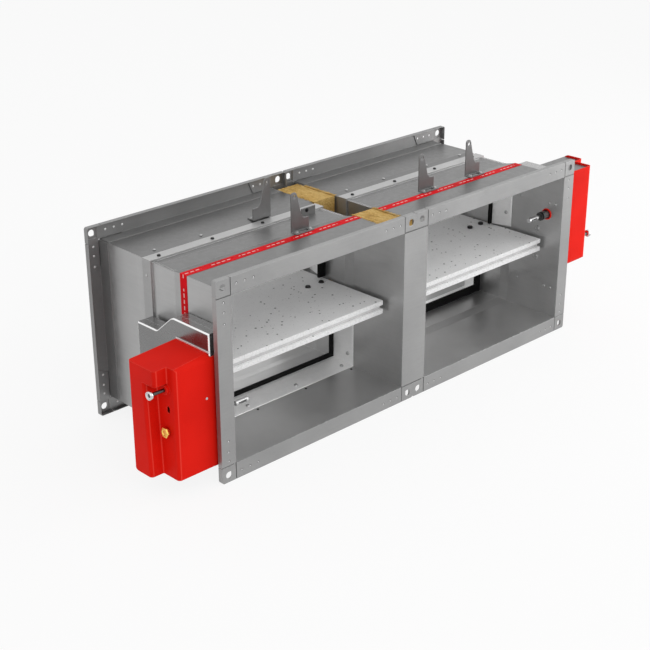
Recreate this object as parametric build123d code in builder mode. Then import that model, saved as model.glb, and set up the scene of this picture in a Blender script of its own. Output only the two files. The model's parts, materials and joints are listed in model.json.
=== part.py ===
"""Twin fire damper: two identical rectangular fire dampers bolted side by side, each with its own
release mechanism on its outer side. Millimetres, +Z up, front at -Y, origin under the centre."""

import os

from build123d import *

os.makedirs("parts", exist_ok=True)

# Duct openings
duct_width = 400.0
duct_height = 300.0
damper_length = 350.0
unit_gap = 0.2

# Flange frames
flange_width = 30.0
flange_depth = 10.0
flange_sheet = 1.0
flange_grip = 27.0
corner_leg = 60.0
corner_leg_sheet = 1.5
corner_leg_inset = 3.5
corner_leg_cut = 12.0
corner_leg_hold = 6.0
corner_gap = 1.2
corner_round = 4.0
corner_hole_offset = 1.5
corner_hole_radius = 6.0
corner_hole_tail = 1.8
corner_hole_reach = 5.6

# Casings, with a middle part that steps in
casing_sheet = 1.5
step_depth = 4.0
step_before_axis = 59.0
step_run = 19.0
step_land = 2.0
groove_after_axis = 6.0
groove_width = 15.0
groove_depth = 0.7
groove_end_inset = 8.0
tick_length = 6.5
tick_width = 2.5
tick_pitch = 5.4
band_after_axis = 22.0
band_width = 22.0
band_rise = 0.5
tape_width = 17.5
tape_sheet = 0.4

# Blade and its seals
axis_depth = 184.0
blade_length = 282.0
blade_thickness = 25.0
blade_side_gap = 4.0
edge_seal_height = 8.0
edge_seal_depth = 6.0
edge_seal_proud = 1.0
closing_gap = 0.3
stop_crest = 12.4
stop_sheet = 1.2
stop_fold = 1.6
stop_seal_thickness = 5.0
stop_seal_height = 20.0
stop_clear_of_blade = 3.5

# Shafts, bushes and the bolts that clamp the blade
shaft_radius = 6.0
running_gap = 0.05
bush_radius = 9.0
bush_flange_radius = 12.0
bush_flange = 1.5
tang_length = 70.0
tang_width = 20.0
tang_thickness = 5.0
tang_gap = 0.2
idle_shaft_stub = 5.0
bolt_radius = 3.0
bolt_gap = 0.1
bolt_edge_distances = (19.0, 53.0)
bolt_head_radius = 5.5
bolt_head_height = 3.0
nut_height = 4.5

# Blade drive: a lever on the shaft, a link rod and a crank in the linkage housing
crank_depth = 75.0
crank_height = -50.0
drive_radius = 32.0
arm_thickness = 5.0
arm_width = 12.0
hub_radius = 10.0
eye_radius = 7.0
rod_width = 10.0
pin_radius = 3.0
pin_gap = 0.1
open_pin_gap = 0.3
layer_gap = 1.0
arm_clearance = 2.0
barrel_radius = 22.0
barrel_length = 24.0
barrel_gap = 3.0
end_float = 0.3

# Linkage housing, a tray and a lid
tray_depth = 16.5
lid_depth = 16.0
lid_round = 3.0
housing_sheet = 1.5
housing_front = 16.2
housing_top = 88.0
housing_bottom = -150.0
housing_top_run = 94.0
housing_slope_run = 42.0
housing_shoulder_radius = 20.0
housing_hollow_radius = 12.0
housing_neck_top = 52.0
housing_neck_after_axis = 20.0
housing_neck_low = -20.0
housing_low_run = 104.0

# Mechanism cover
cover_wall = 2.0
cover_front = 14.0
cover_low = -148.0
cover_high = 54.5
cover_fall = 6.0
cover_front_reach = 73.0
cover_lobe_reach = 98.0
cover_back = 100.0
lobe_front_high = 33.0
lobe_step_height = 21.0
lobe_front_low = 60.0
lobe_front_foot = 54.0
cover_corner_radius = 6.0
cover_hollow_radius = 2.5
cover_heel_radius = 12.0
cover_brow_radius = 12.0
cover_plate_recess = 4.0
cover_plate_sheet = 1.5
cover_plate_gap = 0.2

# Release knob, fuse and fuse button
knob_depth = 34.0
knob_height = 11.5
knob_travel = 8.0
knob_stem_radius = 3.0
knob_head_radius = 7.5
knob_head_length = 6.0
knob_head_round = 1.2
knob_reach = 37.0
knob_collar_radius = 6.0
knob_collar_length = 3.0
knob_boss_radius = 8.0
knob_boss_length = 6.0
knob_tail = 16.0
window_depth = 33.0
window_height = -25.0
window_length = 12.0
window_width = 7.0
fuse_depth = 37.0
fuse_height = -65.0
fuse_tube_radius = 7.0
fuse_flange_radius = 9.5
fuse_flange = 2.0
fuse_barrel_radius = 8.0
fuse_barrel_length = 17.0
fuse_ring_radius = 8.6
fuse_ring_length = 4.0
fuse_probe_radius = 2.5
fuse_probe_length = 9.0
fuse_cage_radius = 4.5
fuse_cage_length = 27.0
fuse_cage_slot = 3.5
fuse_cage_end = 5.0
button_flats = 17.0
button_head = 4.7
button_travel = 3.0
button_stem_radius = 5.0
button_stem_inside = 8.0

# Wall lugs, rivets and mineral wool
lug_sheet = 2.0
lug_height = 73.0
lug_width = 42.0
lug_shoulder = 22.0
lug_waist = (29.0, 23.0)
lug_heel = (24.0, 30.0)
lug_tip_width = 12.0
lug_tip_round = 5.0
lug_foot = 15.0
lug_window_in = 12.0
lug_window_width = 20.0
lug_window_out = 4.0
lug_window_run = 8.0
lug_hole_radius = 3.5
lug_hole_in = 8.4
lug_hole_down = 8.5
wall_before_axis = 48.0
wall_after_axis = 49.0
lug_edges_front = (-175.5, 153.5, 289.0)
lug_edge_back = -137.0
rivet_radius = 3.5
rivet_height = 2.2
head_taper = 20.0
band_rivets = 4
band_rivet_edge = 25.2
band_rivet_inset = 9.0
wool_end_inset = 12.0
wool_wall_gap = 1.0
angle_left_edge = -96.0
angle_width = 34.0
angle_height = 16.5
angle_foot = 9.0
angle_after_axis = 10.0

# Places worked out from the sizes above
half_width = duct_width / 2
half_height = duct_height / 2
unit_pitch = duct_width + 2 * flange_width + unit_gap
mid_height = half_height + flange_width
step_front = axis_depth - step_before_axis
step_back = step_front + step_run
break_front = step_back + step_land
break_back = 2 * axis_depth - break_front
groove_from = axis_depth + groove_after_axis
band_from = axis_depth + band_after_axis
wall_front = axis_depth - wall_before_axis
wall_back = axis_depth + wall_after_axis
throat_width = duct_width - 2 * step_depth
throat_height = duct_height - 2 * step_depth
tick_rows = int((band_from - break_front) / tick_pitch)
tick_middle = throat_width / 2 + casing_sheet - tick_length / 2
band_rivet_pitch = (duct_width - 2 * band_rivet_edge) / (band_rivets - 1)
blade_half_width = throat_width / 2 - blade_side_gap
half_blade = blade_thickness / 2
seal_face = axis_depth - half_blade - closing_gap
stop_back = seal_face - stop_seal_thickness
stop_top = -(half_blade + stop_clear_of_blade)
casing_side = -half_width - casing_sheet
throat_side = -throat_width / 2
tray_back = casing_side - flange_sheet
lid_seam = tray_back - tray_depth
lid_face = lid_seam - lid_depth
arm_face = tray_back - housing_sheet - arm_clearance
rod_face = arm_face - arm_thickness - layer_gap
pin_end = rod_face - arm_thickness - layer_gap
cover_face = lid_face - cover_front_reach
blade_axis = Axis((0, axis_depth, 0), (1, 0, 0))
seats = {
    "left": Location((-unit_pitch / 2, -damper_length / 2, mid_height)),
    "right": Location((unit_pitch / 2, -damper_length / 2, mid_height), (0, 180, 0)),
}


def facing_front(depth):
    """The upright plane at a depth behind the front face, seen from the front."""
    return Plane(origin=(0, depth, 0), x_dir=(1, 0, 0), z_dir=(0, -1, 0))


def frame_round_duct(section):
    """A closed frame: a section of (depth, distance outwards) points carried round the duct."""
    with BuildPart() as frame:
        with BuildLine() as route:
            Polyline(
                (0, 0, -half_height),
                (half_width, 0, -half_height),
                (half_width, 0, half_height),
                (-half_width, 0, half_height),
                (-half_width, 0, -half_height),
                close=True,
            )
        with BuildSketch(Plane.YZ):
            with BuildLine():
                Polyline(*[(depth, -half_height - out) for depth, out in section], close=True)
            make_face()
        sweep(path=route.wire(), transition=Transition.RIGHT)
    return frame.part


def group(*parts):
    """The solids of several pieces, kept separate in one node."""
    return Compound(children=[solid for part in parts for solid in part.solids()])


def lower_bars(section):
    """The lower half of such a frame, as three bars with mitred corners."""
    whole = split(frame_round_duct(section), bisect_by=Plane.XY.offset(stop_top), keep=Keep.BOTTOM)
    mitres = [
        Plane(origin=(side * half_width, 0, -half_height), z_dir=(side, 0, 1)) for side in (-1, 1)
    ]
    side_bars = [split(whole, bisect_by=mitre, keep=Keep.TOP) for mitre in mitres]
    bottom_bar = whole
    for mitre in mitres:
        bottom_bar = split(bottom_bar, bisect_by=mitre, keep=Keep.BOTTOM)
    return group(bottom_bar, *side_bars)


def rod_along_x(plane_x, reach, radius, depth, height):
    """A round bar along X from plane_x, added in the part that is being made."""
    with BuildSketch(Plane.YZ.offset(plane_x)) as disc:
        with Locations((depth, height)):
            Circle(radius)
    extrude(disc.sketch, amount=reach)


# Front casing, a folded sheet tube whose back end steps in
with BuildPart() as front_casing:
    add(
        frame_round_duct(
            [
                (flange_sheet, 0),
                (step_front, 0),
                (step_back, -step_depth),
                (break_front, -step_depth),
                (break_front, casing_sheet - step_depth),
                (step_back, casing_sheet - step_depth),
                (step_front, casing_sheet),
                (flange_sheet, casing_sheet),
            ]
        )
    )
    with BuildSketch(Plane.YZ.offset(casing_side)):
        with Locations((fuse_depth, fuse_height)):
            Circle(fuse_tube_radius + running_gap)
    extrude(amount=casing_sheet, mode=Mode.SUBTRACT)

# Rear casing, with its step at the front end
rear_step = 2 * axis_depth - step_back
rear_straight = 2 * axis_depth - step_front
with BuildPart() as rear_casing:
    add(
        frame_round_duct(
            [
                (break_back, -step_depth),
                (rear_step, -step_depth),
                (rear_straight, 0),
                (damper_length - flange_sheet, 0),
                (damper_length - flange_sheet, casing_sheet),
                (rear_straight, casing_sheet),
                (rear_step, casing_sheet - step_depth),
                (break_back, casing_sheet - step_depth),
            ]
        )
    )

# Thermal break frame, four strips between the two casings, with pressed ticks along two edges
break_run = break_back - break_front
with BuildPart() as break_top:
    with BuildSketch(Plane.XY.offset(throat_height / 2)):
        with Locations((0, break_front + break_run / 2)):
            Rectangle(throat_width + 2 * casing_sheet, break_run)
    extrude(amount=casing_sheet)
    with BuildSketch(Plane.XY.offset(throat_height / 2 + casing_sheet)):
        with Locations((0, groove_from + groove_width / 2)):
            Rectangle(throat_width - 2 * groove_end_inset, groove_width)
        tick_centre = (break_front + band_from) / 2
        with Locations((-tick_middle, tick_centre), (tick_middle, tick_centre)):
            with GridLocations(1, tick_pitch, 1, tick_rows):
                Rectangle(tick_length, tick_width)
    extrude(amount=-groove_depth, mode=Mode.SUBTRACT)

with BuildPart() as break_side:
    with BuildSketch(Plane.YZ.offset(throat_width / 2)):
        with Locations((break_front + break_run / 2, 0)):
            Rectangle(break_run, throat_height)
        with Locations((axis_depth, 0)):
            Circle(bush_radius + running_gap, mode=Mode.SUBTRACT)
    extrude(amount=casing_sheet)
    with BuildSketch(Plane.YZ.offset(throat_width / 2 + casing_sheet)):
        with Locations((groove_from + groove_width / 2, 0)):
            Rectangle(groove_width, throat_height)
    extrude(amount=-groove_depth, mode=Mode.SUBTRACT)

thermal_break_frame = group(
    break_top.part,
    break_top.part.mirror(Plane.XY),
    break_side.part,
    break_side.part.mirror(Plane.YZ),
)

# Front stop: a sloping sheet profile on the lower half, whose crest carries the seal
front_stop = lower_bars(
    [
        (step_front, 0),
        (stop_back, -stop_crest),
        (stop_back, -step_depth),
        (stop_back - stop_sheet, -step_depth),
        (stop_back - stop_sheet, stop_fold - stop_crest),
        (step_back, -step_depth),
    ]
)

# Front stop seal behind the crest
front_stop_seal = lower_bars(
    [
        (stop_back, -step_depth),
        (seal_face, -step_depth),
        (seal_face, -stop_seal_height),
        (stop_back, -stop_seal_height),
    ]
)

# Rear stop and seal on the upper half, turned half round the blade's axis
rear_stop = front_stop.rotate(blade_axis, 180)
rear_stop_seal = front_stop_seal.rotate(blade_axis, 180)

# Blade, two boards that clamp the shaft tangs and the edge seal between them
tang_centres = [
    (side * (blade_half_width - tang_length / 2), axis_depth) for side in (-1, 1)
]
bolt_places = [
    (side * (blade_half_width - distance), axis_depth)
    for side in (-1, 1)
    for distance in bolt_edge_distances
]
with BuildPart() as blade_upper_board:
    with BuildSketch():
        with Locations((0, axis_depth)):
            Rectangle(2 * blade_half_width, blade_length)
    extrude(amount=half_blade)
    with BuildSketch():
        with Locations((0, axis_depth)):
            Rectangle(2 * blade_half_width, blade_length)
            Rectangle(
                2 * (blade_half_width - edge_seal_depth),
                blade_length - 2 * edge_seal_depth,
                mode=Mode.SUBTRACT,
            )
    extrude(amount=edge_seal_height / 2, mode=Mode.SUBTRACT)
    with BuildSketch():
        with Locations(*tang_centres):
            Rectangle(tang_length + 2 * tang_gap, tang_width + 2 * tang_gap)
    extrude(amount=tang_thickness / 2, mode=Mode.SUBTRACT)
    with Locations(*[(x, y, half_blade) for x, y in bolt_places]):
        Hole(bolt_radius + bolt_gap)

with BuildPart() as blade_lower_board:
    add(blade_upper_board.part.mirror(Plane.XY))

with BuildPart() as blade_edge_seal:
    with BuildSketch():
        with Locations((0, axis_depth)):
            Rectangle(
                2 * (blade_half_width + edge_seal_proud),
                blade_length + 2 * edge_seal_proud,
            )
            Rectangle(
                2 * (blade_half_width - edge_seal_depth),
                blade_length - 2 * edge_seal_depth,
                mode=Mode.SUBTRACT,
            )
            Rectangle(
                2 * (blade_half_width + edge_seal_proud),
                tang_width + 2 * tang_gap,
                mode=Mode.SUBTRACT,
            )
    extrude(amount=edge_seal_height / 2, both=True)

with BuildPart() as blade_bolts:
    with BuildSketch(Plane.XY.offset(-half_blade)):
        with Locations(*bolt_places):
            Circle(bolt_radius)
    extrude(amount=blade_thickness)
    with BuildSketch(Plane.XY.offset(half_blade)):
        with Locations(*bolt_places):
            Circle(bolt_head_radius)
    extrude(amount=bolt_head_height, taper=head_taper)
    with BuildSketch(Plane.XY.offset(-half_blade)):
        with Locations(*bolt_places):
            RegularPolygon(bolt_head_radius, 6)
    extrude(amount=-nut_height)


def shaft_with_tang(side, end_x):
    """A stub shaft from end_x to the blade, with the flat tang that the boards clamp."""
    with BuildPart() as shaft:
        rod_along_x(side * blade_half_width, end_x - side * blade_half_width, shaft_radius, axis_depth, 0)
        with BuildSketch():
            with Locations((side * (blade_half_width - tang_length / 2), axis_depth)):
                Rectangle(tang_length, tang_width)
        extrude(amount=tang_thickness / 2, both=True)
        with Locations(*[(x, y, tang_thickness / 2) for x, y in bolt_places if x * side > 0]):
            Hole(bolt_radius + bolt_gap)
    return shaft.part


# Drive shaft on the mechanism side, idle shaft on the other
with BuildPart() as drive_shaft:
    add(shaft_with_tang(-1, arm_face - arm_thickness))

with BuildPart() as idle_shaft:
    add(shaft_with_tang(1, -throat_side + casing_sheet + idle_shaft_stub))

# Flanged bushes in the side walls and in the lid
with BuildPart() as shaft_bushes:
    rod_along_x(throat_side + bush_flange, -bush_flange, bush_flange_radius, axis_depth, 0)
    rod_along_x(throat_side, tray_back - housing_sheet - throat_side, bush_radius, axis_depth, 0)
    rod_along_x(-throat_side - bush_flange, bush_flange, bush_flange_radius, axis_depth, 0)
    rod_along_x(-throat_side, casing_sheet + bush_flange, bush_radius, axis_depth, 0)
    rod_along_x(
        lid_face + housing_sheet + bush_flange, -bush_flange, bush_flange_radius, crank_depth, crank_height
    )
    rod_along_x(lid_face + housing_sheet, -housing_sheet, bush_radius, crank_depth, crank_height)
    with BuildSketch(Plane.YZ.offset(lid_face)):
        with Locations((axis_depth, 0), (crank_depth, crank_height)):
            Circle(shaft_radius + running_gap)
    extrude(amount=unit_pitch, mode=Mode.SUBTRACT)

# Blade lever, which points to the front while the blade is open
with BuildPart() as blade_lever:
    with BuildSketch(Plane.YZ.offset(arm_face)):
        with Locations((axis_depth, 0)):
            Circle(hub_radius)
        with Locations((axis_depth - drive_radius, 0)):
            Circle(eye_radius)
        with Locations((axis_depth - drive_radius / 2, 0)):
            Rectangle(drive_radius, arm_width)
        with Locations((axis_depth, 0)):
            Circle(shaft_radius + running_gap, mode=Mode.SUBTRACT)
    extrude(amount=-arm_thickness)
    rod_along_x(
        arm_face - arm_thickness,
        pin_end - arm_face + arm_thickness,
        pin_radius,
        axis_depth - drive_radius,
        0,
    )

# Drive crank, parallel to the lever, forged in one with its shaft
with BuildPart() as drive_crank:
    with BuildSketch(Plane.YZ.offset(arm_face)):
        with Locations((crank_depth, crank_height)):
            Circle(hub_radius)
        with Locations((crank_depth - drive_radius, crank_height)):
            Circle(eye_radius)
        with Locations((crank_depth - drive_radius / 2, crank_height)):
            Rectangle(drive_radius, arm_width)
    extrude(amount=-arm_thickness)
    rod_along_x(
        arm_face - arm_thickness,
        pin_end - arm_face + arm_thickness,
        pin_radius,
        crank_depth - drive_radius,
        crank_height,
    )
    shaft_start = tray_back - housing_sheet - end_float
    rod_along_x(
        shaft_start,
        lid_face - barrel_gap - barrel_length - shaft_start,
        shaft_radius,
        crank_depth,
        crank_height,
    )

# Link rod between the lever pin and the crank pin
lever_pin = Vector(axis_depth - drive_radius, 0)
crank_pin = Vector(crank_depth - drive_radius, crank_height)
with BuildPart() as link_rod:
    with BuildSketch(Plane.YZ.offset(rod_face)):
        with BuildLine():
            Line(crank_pin, lever_pin)
        trace(line_width=rod_width)
        with Locations(lever_pin, crank_pin):
            Circle(eye_radius)
        with Locations(lever_pin):
            Circle(pin_radius + open_pin_gap, mode=Mode.SUBTRACT)
        with Locations(crank_pin):
            Circle(pin_radius + pin_gap, mode=Mode.SUBTRACT)
    extrude(amount=-arm_thickness)

# Spring barrel on the crank shaft, inside the cover
with BuildPart() as spring_barrel:
    with BuildSketch(Plane.YZ.offset(lid_face - barrel_gap)):
        with Locations((crank_depth, crank_height)):
            Circle(barrel_radius)
            Circle(shaft_radius + running_gap, mode=Mode.SUBTRACT)
    extrude(amount=-barrel_length)

# Linkage housing, a sheet tray against the casing and a lid over it
housing_outline = [
    (housing_front, housing_top),
    (housing_front + housing_top_run, housing_top),
    (housing_front + housing_top_run + housing_slope_run, housing_neck_top),
    (axis_depth + housing_neck_after_axis, housing_neck_top),
    (axis_depth + housing_neck_after_axis, housing_neck_low),
    (housing_front + housing_low_run, housing_bottom),
    (housing_front, housing_bottom),
]


def housing_face(plane_x, inset):
    """The housing's outline with its rounded shoulder, drawn in by an inset."""
    with BuildSketch(Plane.YZ.offset(plane_x)) as face:
        with BuildLine():
            Polyline(*housing_outline, close=True)
        make_face()
        shoulder = face.vertices().group_by(Axis.Y)[-1].sort_by(Axis.X)[-1]
        fillet(shoulder, housing_shoulder_radius)
        hollow = face.vertices().filter_by_position(
            Axis.Y, housing_neck_top, housing_neck_top
        ).sort_by(Axis.X)[0]
        fillet(hollow, housing_hollow_radius)
        if inset:
            offset(amount=-inset, kind=Kind.INTERSECTION)
    return face.sketch


def sheet_tray(back_x, open_x, edge_round):
    """A tray of housing sheet, closed at back_x and open at open_x, with a rounded closed edge."""
    reach = open_x - back_x
    wall = housing_sheet if reach > 0 else -housing_sheet
    with BuildPart() as tray:
        extrude(housing_face(back_x, 0), amount=reach)
        if edge_round:
            fillet(tray.faces().filter_by(Axis.X).sort_by(Axis.X)[0].edges(), edge_round)
        extrude(housing_face(back_x + wall, housing_sheet), amount=reach - wall, mode=Mode.SUBTRACT)
        with BuildSketch(Plane.YZ.offset(back_x)) as tube_hole:
            with Locations((fuse_depth, fuse_height)):
                Circle(fuse_tube_radius + running_gap)
        extrude(tube_hole.sketch, amount=wall, mode=Mode.SUBTRACT)
    return tray.part


with BuildPart() as linkage_tray:
    add(sheet_tray(tray_back, lid_seam, 0))
    with BuildSketch(Plane.YZ.offset(tray_back)):
        with Locations((axis_depth, 0)):
            Circle(bush_radius + running_gap)
    extrude(amount=-housing_sheet, mode=Mode.SUBTRACT)

with BuildPart() as linkage_lid:
    add(sheet_tray(lid_face, lid_seam, lid_round))
    with BuildSketch(Plane.YZ.offset(lid_face)):
        with Locations((crank_depth, crank_height)):
            Circle(bush_radius + running_gap)
    extrude(amount=housing_sheet, mode=Mode.SUBTRACT)


def cover_plan(height, lobe_front, inset):
    """The cover's plan at a height, drawn in by an inset and then open past the lid."""
    lobe = lid_face - cover_lobe_reach
    lid_side = lid_face + 2 * inset
    with BuildSketch(Plane.XY.offset(height)) as plan:
        with BuildLine():
            Polyline(
                (lid_side, cover_front),
                (cover_face, cover_front),
                (cover_face, lobe_front),
                (lobe, lobe_front),
                (lobe, cover_back),
                (lid_side, cover_back),
                close=True,
            )
        make_face()
        hollow = plan.vertices().group_by(Axis.X)[1].sort_by(Axis.Y)[-1]
        fillet(hollow, cover_hollow_radius)
        nose = plan.vertices().group_by(Axis.Y)[0].sort_by(Axis.X)[0]
        fillet([*plan.vertices().group_by(Axis.X)[0], nose], cover_corner_radius)
        if inset:
            offset(amount=-inset)
    return plan.sketch


def cover_form(inset):
    """The outer form of the mechanism cover, or with an inset the form of the space inside it."""
    foot = cover_low - 2 * inset
    step = lobe_step_height + inset
    lobe = lid_face - cover_lobe_reach
    with BuildPart() as form:
        extrude(cover_plan(step, lobe_front_high, inset), amount=cover_high - step)
        loft([cover_plan(foot, lobe_front_foot, inset), cover_plan(step, lobe_front_low, inset)])
        if not inset:
            with BuildSketch(Plane.XY.offset(cover_low)) as lip:
                with Locations((lid_face, cover_front)):
                    Rectangle(lid_depth, cover_wall, align=Align.MIN)
            extrude(lip.sketch, amount=cover_high - cover_low)
        with BuildSketch(Plane.YZ.offset(lobe)) as side_view:
            with Locations((cover_back - inset, cover_high)):
                Rectangle(cover_back - cover_front - 2 * inset, cover_high - foot, align=Align.MAX)
            heel = side_view.vertices().group_by(Axis.Y)[0].sort_by(Axis.X)[-1]
            fillet(heel, cover_heel_radius)
            brow = side_view.vertices().group_by(Axis.Y)[-1].sort_by(Axis.X)[0]
            fillet(brow, cover_brow_radius - inset)
        extrude(side_view.sketch, amount=lid_seam - lobe, mode=Mode.INTERSECT)
        slope = Plane(origin=(lid_face, 0, cover_high - inset), z_dir=(-cover_fall, 0, cover_lobe_reach))
        split(bisect_by=slope, keep=Keep.BOTTOM)
    return form.part


# Mechanism cover, a moulded shell open towards the lid and below
with BuildPart() as mechanism_cover:
    add(cover_form(0))
    rod_along_x(cover_face, -knob_boss_length, knob_boss_radius, knob_depth, knob_height)
    add(cover_form(cover_wall), mode=Mode.SUBTRACT)
    with BuildSketch(Plane.YZ.offset(cover_face - knob_boss_length)):
        with Locations((knob_depth, knob_height)):
            Circle(knob_stem_radius + pin_gap)
        with Locations((fuse_depth, fuse_height)):
            Circle(button_stem_radius + pin_gap)
        with Locations((window_depth, window_height)):
            SlotOverall(window_length, window_width, rotation=90)
    extrude(amount=knob_boss_length + cover_wall, mode=Mode.SUBTRACT)

with BuildPart() as cover_bottom_plate:
    add(cover_form(cover_wall + cover_plate_gap))
    split(bisect_by=Plane.XY.offset(cover_low + cover_plate_recess), keep=Keep.TOP)
    split(
        bisect_by=Plane.XY.offset(cover_low + cover_plate_recess + cover_plate_sheet),
        keep=Keep.BOTTOM,
    )
    split(bisect_by=Plane.YZ.offset(lid_face), keep=Keep.BOTTOM)

# Release knob, pulled out to let the spring close the blade
with BuildPart() as release_knob:
    rod_along_x(cover_face - knob_reach, knob_head_length, knob_head_radius, knob_depth, knob_height)
    fillet(release_knob.edges().filter_by(GeomType.CIRCLE), knob_head_round)
    rod_along_x(
        cover_face - knob_reach + knob_head_length,
        knob_reach - knob_head_length + knob_tail,
        knob_stem_radius,
        knob_depth,
        knob_height,
    )
    rod_along_x(
        cover_face + cover_wall + knob_travel + end_float,
        knob_collar_length,
        knob_collar_radius,
        knob_depth,
        knob_height,
    )

# Thermal fuse: the probe stands in the duct and the tube passes the housing
fuse_end = cover_face + button_stem_inside + button_travel + end_float
with BuildPart() as thermal_fuse:
    rod_along_x(-half_width, fuse_flange, fuse_flange_radius, fuse_depth, fuse_height)
    rod_along_x(-half_width, fuse_end + half_width, fuse_tube_radius, fuse_depth, fuse_height)
    barrel_start = -half_width + fuse_flange
    rod_along_x(barrel_start, fuse_barrel_length, fuse_barrel_radius, fuse_depth, fuse_height)
    ring_start = barrel_start + fuse_barrel_length
    rod_along_x(ring_start, fuse_ring_length, fuse_ring_radius, fuse_depth, fuse_height)
    probe_start = ring_start + fuse_ring_length
    rod_along_x(probe_start, fuse_probe_length, fuse_probe_radius, fuse_depth, fuse_height)
    cage_start = probe_start + fuse_probe_length
    rod_along_x(cage_start, fuse_cage_length, fuse_cage_radius, fuse_depth, fuse_height)
    with BuildSketch(facing_front(fuse_depth)):
        with Locations((cage_start + fuse_cage_length / 2, fuse_height)):
            Rectangle(fuse_cage_length - 2 * fuse_cage_end, fuse_cage_slot)
    extrude(amount=fuse_cage_radius, both=True, mode=Mode.SUBTRACT)

# Hexagonal fuse button
button_face = cover_face - button_travel - end_float
with BuildPart() as fuse_button:
    with BuildSketch(Plane.YZ.offset(button_face)):
        with Locations((fuse_depth, fuse_height)):
            RegularPolygon(button_flats / 2, 6, major_radius=False)
    extrude(amount=-button_head)
    rod_along_x(
        button_face,
        cover_face + button_stem_inside - button_face,
        button_stem_radius,
        fuse_depth,
        fuse_height,
    )

unit_pieces = {
    "front_casing": front_casing.part,
    "rear_casing": rear_casing.part,
    "thermal_break_frame": thermal_break_frame,
    "front_stop": front_stop,
    "rear_stop": rear_stop,
    "front_stop_seal": front_stop_seal,
    "rear_stop_seal": rear_stop_seal,
    "blade_upper_board": blade_upper_board.part,
    "blade_lower_board": blade_lower_board.part,
    "blade_edge_seal": blade_edge_seal.part,
    "blade_bolts": blade_bolts.part,
    "drive_shaft": drive_shaft.part,
    "idle_shaft": idle_shaft.part,
    "shaft_bushes": shaft_bushes.part,
    "blade_lever": blade_lever.part,
    "link_rod": link_rod.part,
    "drive_crank": drive_crank.part,
    "spring_barrel": spring_barrel.part,
    "linkage_tray": linkage_tray.part,
    "linkage_lid": linkage_lid.part,
    "mechanism_cover": mechanism_cover.part,
    "cover_bottom_plate": cover_bottom_plate.part,
    "release_knob": release_knob.part,
    "thermal_fuse": thermal_fuse.part,
    "fuse_button": fuse_button.part,
}

for side, seat in seats.items():
    for name, piece in unit_pieces.items():
        placed = group(piece.moved(seat))
        placed.label = f"{side}_{name}"
        export_step(placed, f"parts/{side}_{name}.step")


def export_pair(name, part):
    """Writes the pieces that both dampers have alike as one group of separate solids."""
    both = group(*[part.moved(seat) for seat in seats.values()])
    both.label = name
    export_step(both, f"parts/{name}.step")


def bar_section(from_out, from_depth):
    """A flange bar's section of (depth, outwards) points: face, outer lip and leg on the casing."""
    back = from_depth + flange_sheet
    leg = casing_sheet + flange_sheet
    return [
        (from_depth, from_out),
        (from_depth, flange_width),
        (from_depth + flange_depth, flange_width),
        (from_depth + flange_depth, flange_width - flange_sheet),
        (back, flange_width - flange_sheet),
        (back, leg),
        (back + flange_grip, leg),
        (back + flange_grip, casing_sheet),
        (back, casing_sheet),
        (back, from_out),
    ]


def inner_bar_section():
    """The section of a bar under the centre cover: its face is set back and starts on the casing."""
    section = bar_section(casing_sheet, flange_sheet)
    return section[:-1]


with BuildPart() as flange_bars:
    with BuildSketch(Plane.YZ):
        with BuildLine():
            Polyline(*[(d, half_height + out) for d, out in bar_section(0, 0)], close=True)
        make_face()
    extrude(amount=half_width, both=True)
    mirror(about=Plane.XY)
    with BuildSketch():
        with BuildLine():
            Polyline(*[(-half_width - out, d) for d, out in bar_section(0, 0)], close=True)
        make_face()
    extrude(amount=half_height, both=True)
    with BuildSketch():
        with BuildLine():
            Polyline(*[(half_width + out, d) for d, out in inner_bar_section()], close=True)
        make_face()
    extrude(amount=half_height, both=True)

mid_plane = Plane.XZ.offset(-damper_length / 2)
export_pair("front_flange_bars", flange_bars.part)
export_pair("rear_flange_bars", flange_bars.part.mirror(mid_plane))


def corner_piece(upright_leg_depth):
    """A top corner: a flush rimmed square with a teardrop hole, and two legs that lie in the bars."""
    low = corner_leg_inset
    high = flange_width - flange_sheet
    square_side = flange_width - corner_gap
    square_middle = corner_gap + square_side / 2
    across_leg = [
        (half_width + corner_leg_hold, half_height + low),
        (half_width - corner_leg + corner_leg_cut, half_height + low),
        (half_width - corner_leg, half_height + high),
        (half_width + corner_leg_hold, half_height + high),
    ]
    upright_leg = [(half_width - half_height + z, half_height - half_width + x) for x, z in across_leg]
    with BuildPart() as corner:
        with BuildSketch(facing_front(0)) as square:
            with Locations((half_width + square_middle, half_height + square_middle)):
                Rectangle(square_side, square_side)
            outer_corner = square.vertices().group_by(Axis.X)[-1].sort_by(Axis.Y)[-1]
            fillet(outer_corner, corner_round)
        extrude(amount=-flange_sheet)
        rim = square.sketch - square.sketch.moved(Location((-flange_sheet, 0, -flange_sheet)))
        extrude(rim, amount=-flange_depth)
        for leg, depth in ((across_leg, flange_sheet), (upright_leg, upright_leg_depth)):
            with BuildSketch(facing_front(depth)):
                with BuildLine():
                    Polyline(*leg, close=True)
                make_face()
            extrude(amount=-corner_leg_sheet)
        hole_x = half_width + flange_width / 2 + corner_hole_offset
        hole_z = half_height + flange_width / 2 + corner_hole_offset
        tail_way = corner_hole_reach / 2**0.5
        with BuildSketch(facing_front(0)):
            with BuildLine():
                CenterArc((hole_x, hole_z), corner_hole_radius, 0, 360)
                CenterArc((hole_x - tail_way, hole_z - tail_way), corner_hole_tail, 0, 360)
            make_hull()
        extrude(amount=-upright_leg_depth - corner_leg_sheet, mode=Mode.SUBTRACT)
    return corner.part


outer_corner_piece = corner_piece(flange_sheet).mirror(Plane.YZ)
inner_corner_piece = corner_piece(2 * flange_sheet)
corner_pieces = group(
    outer_corner_piece,
    outer_corner_piece.mirror(Plane.XY),
    inner_corner_piece,
    inner_corner_piece.mirror(Plane.XY),
)
export_pair("front_corner_pieces", corner_pieces)
export_pair("rear_corner_pieces", corner_pieces.mirror(mid_plane))

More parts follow.
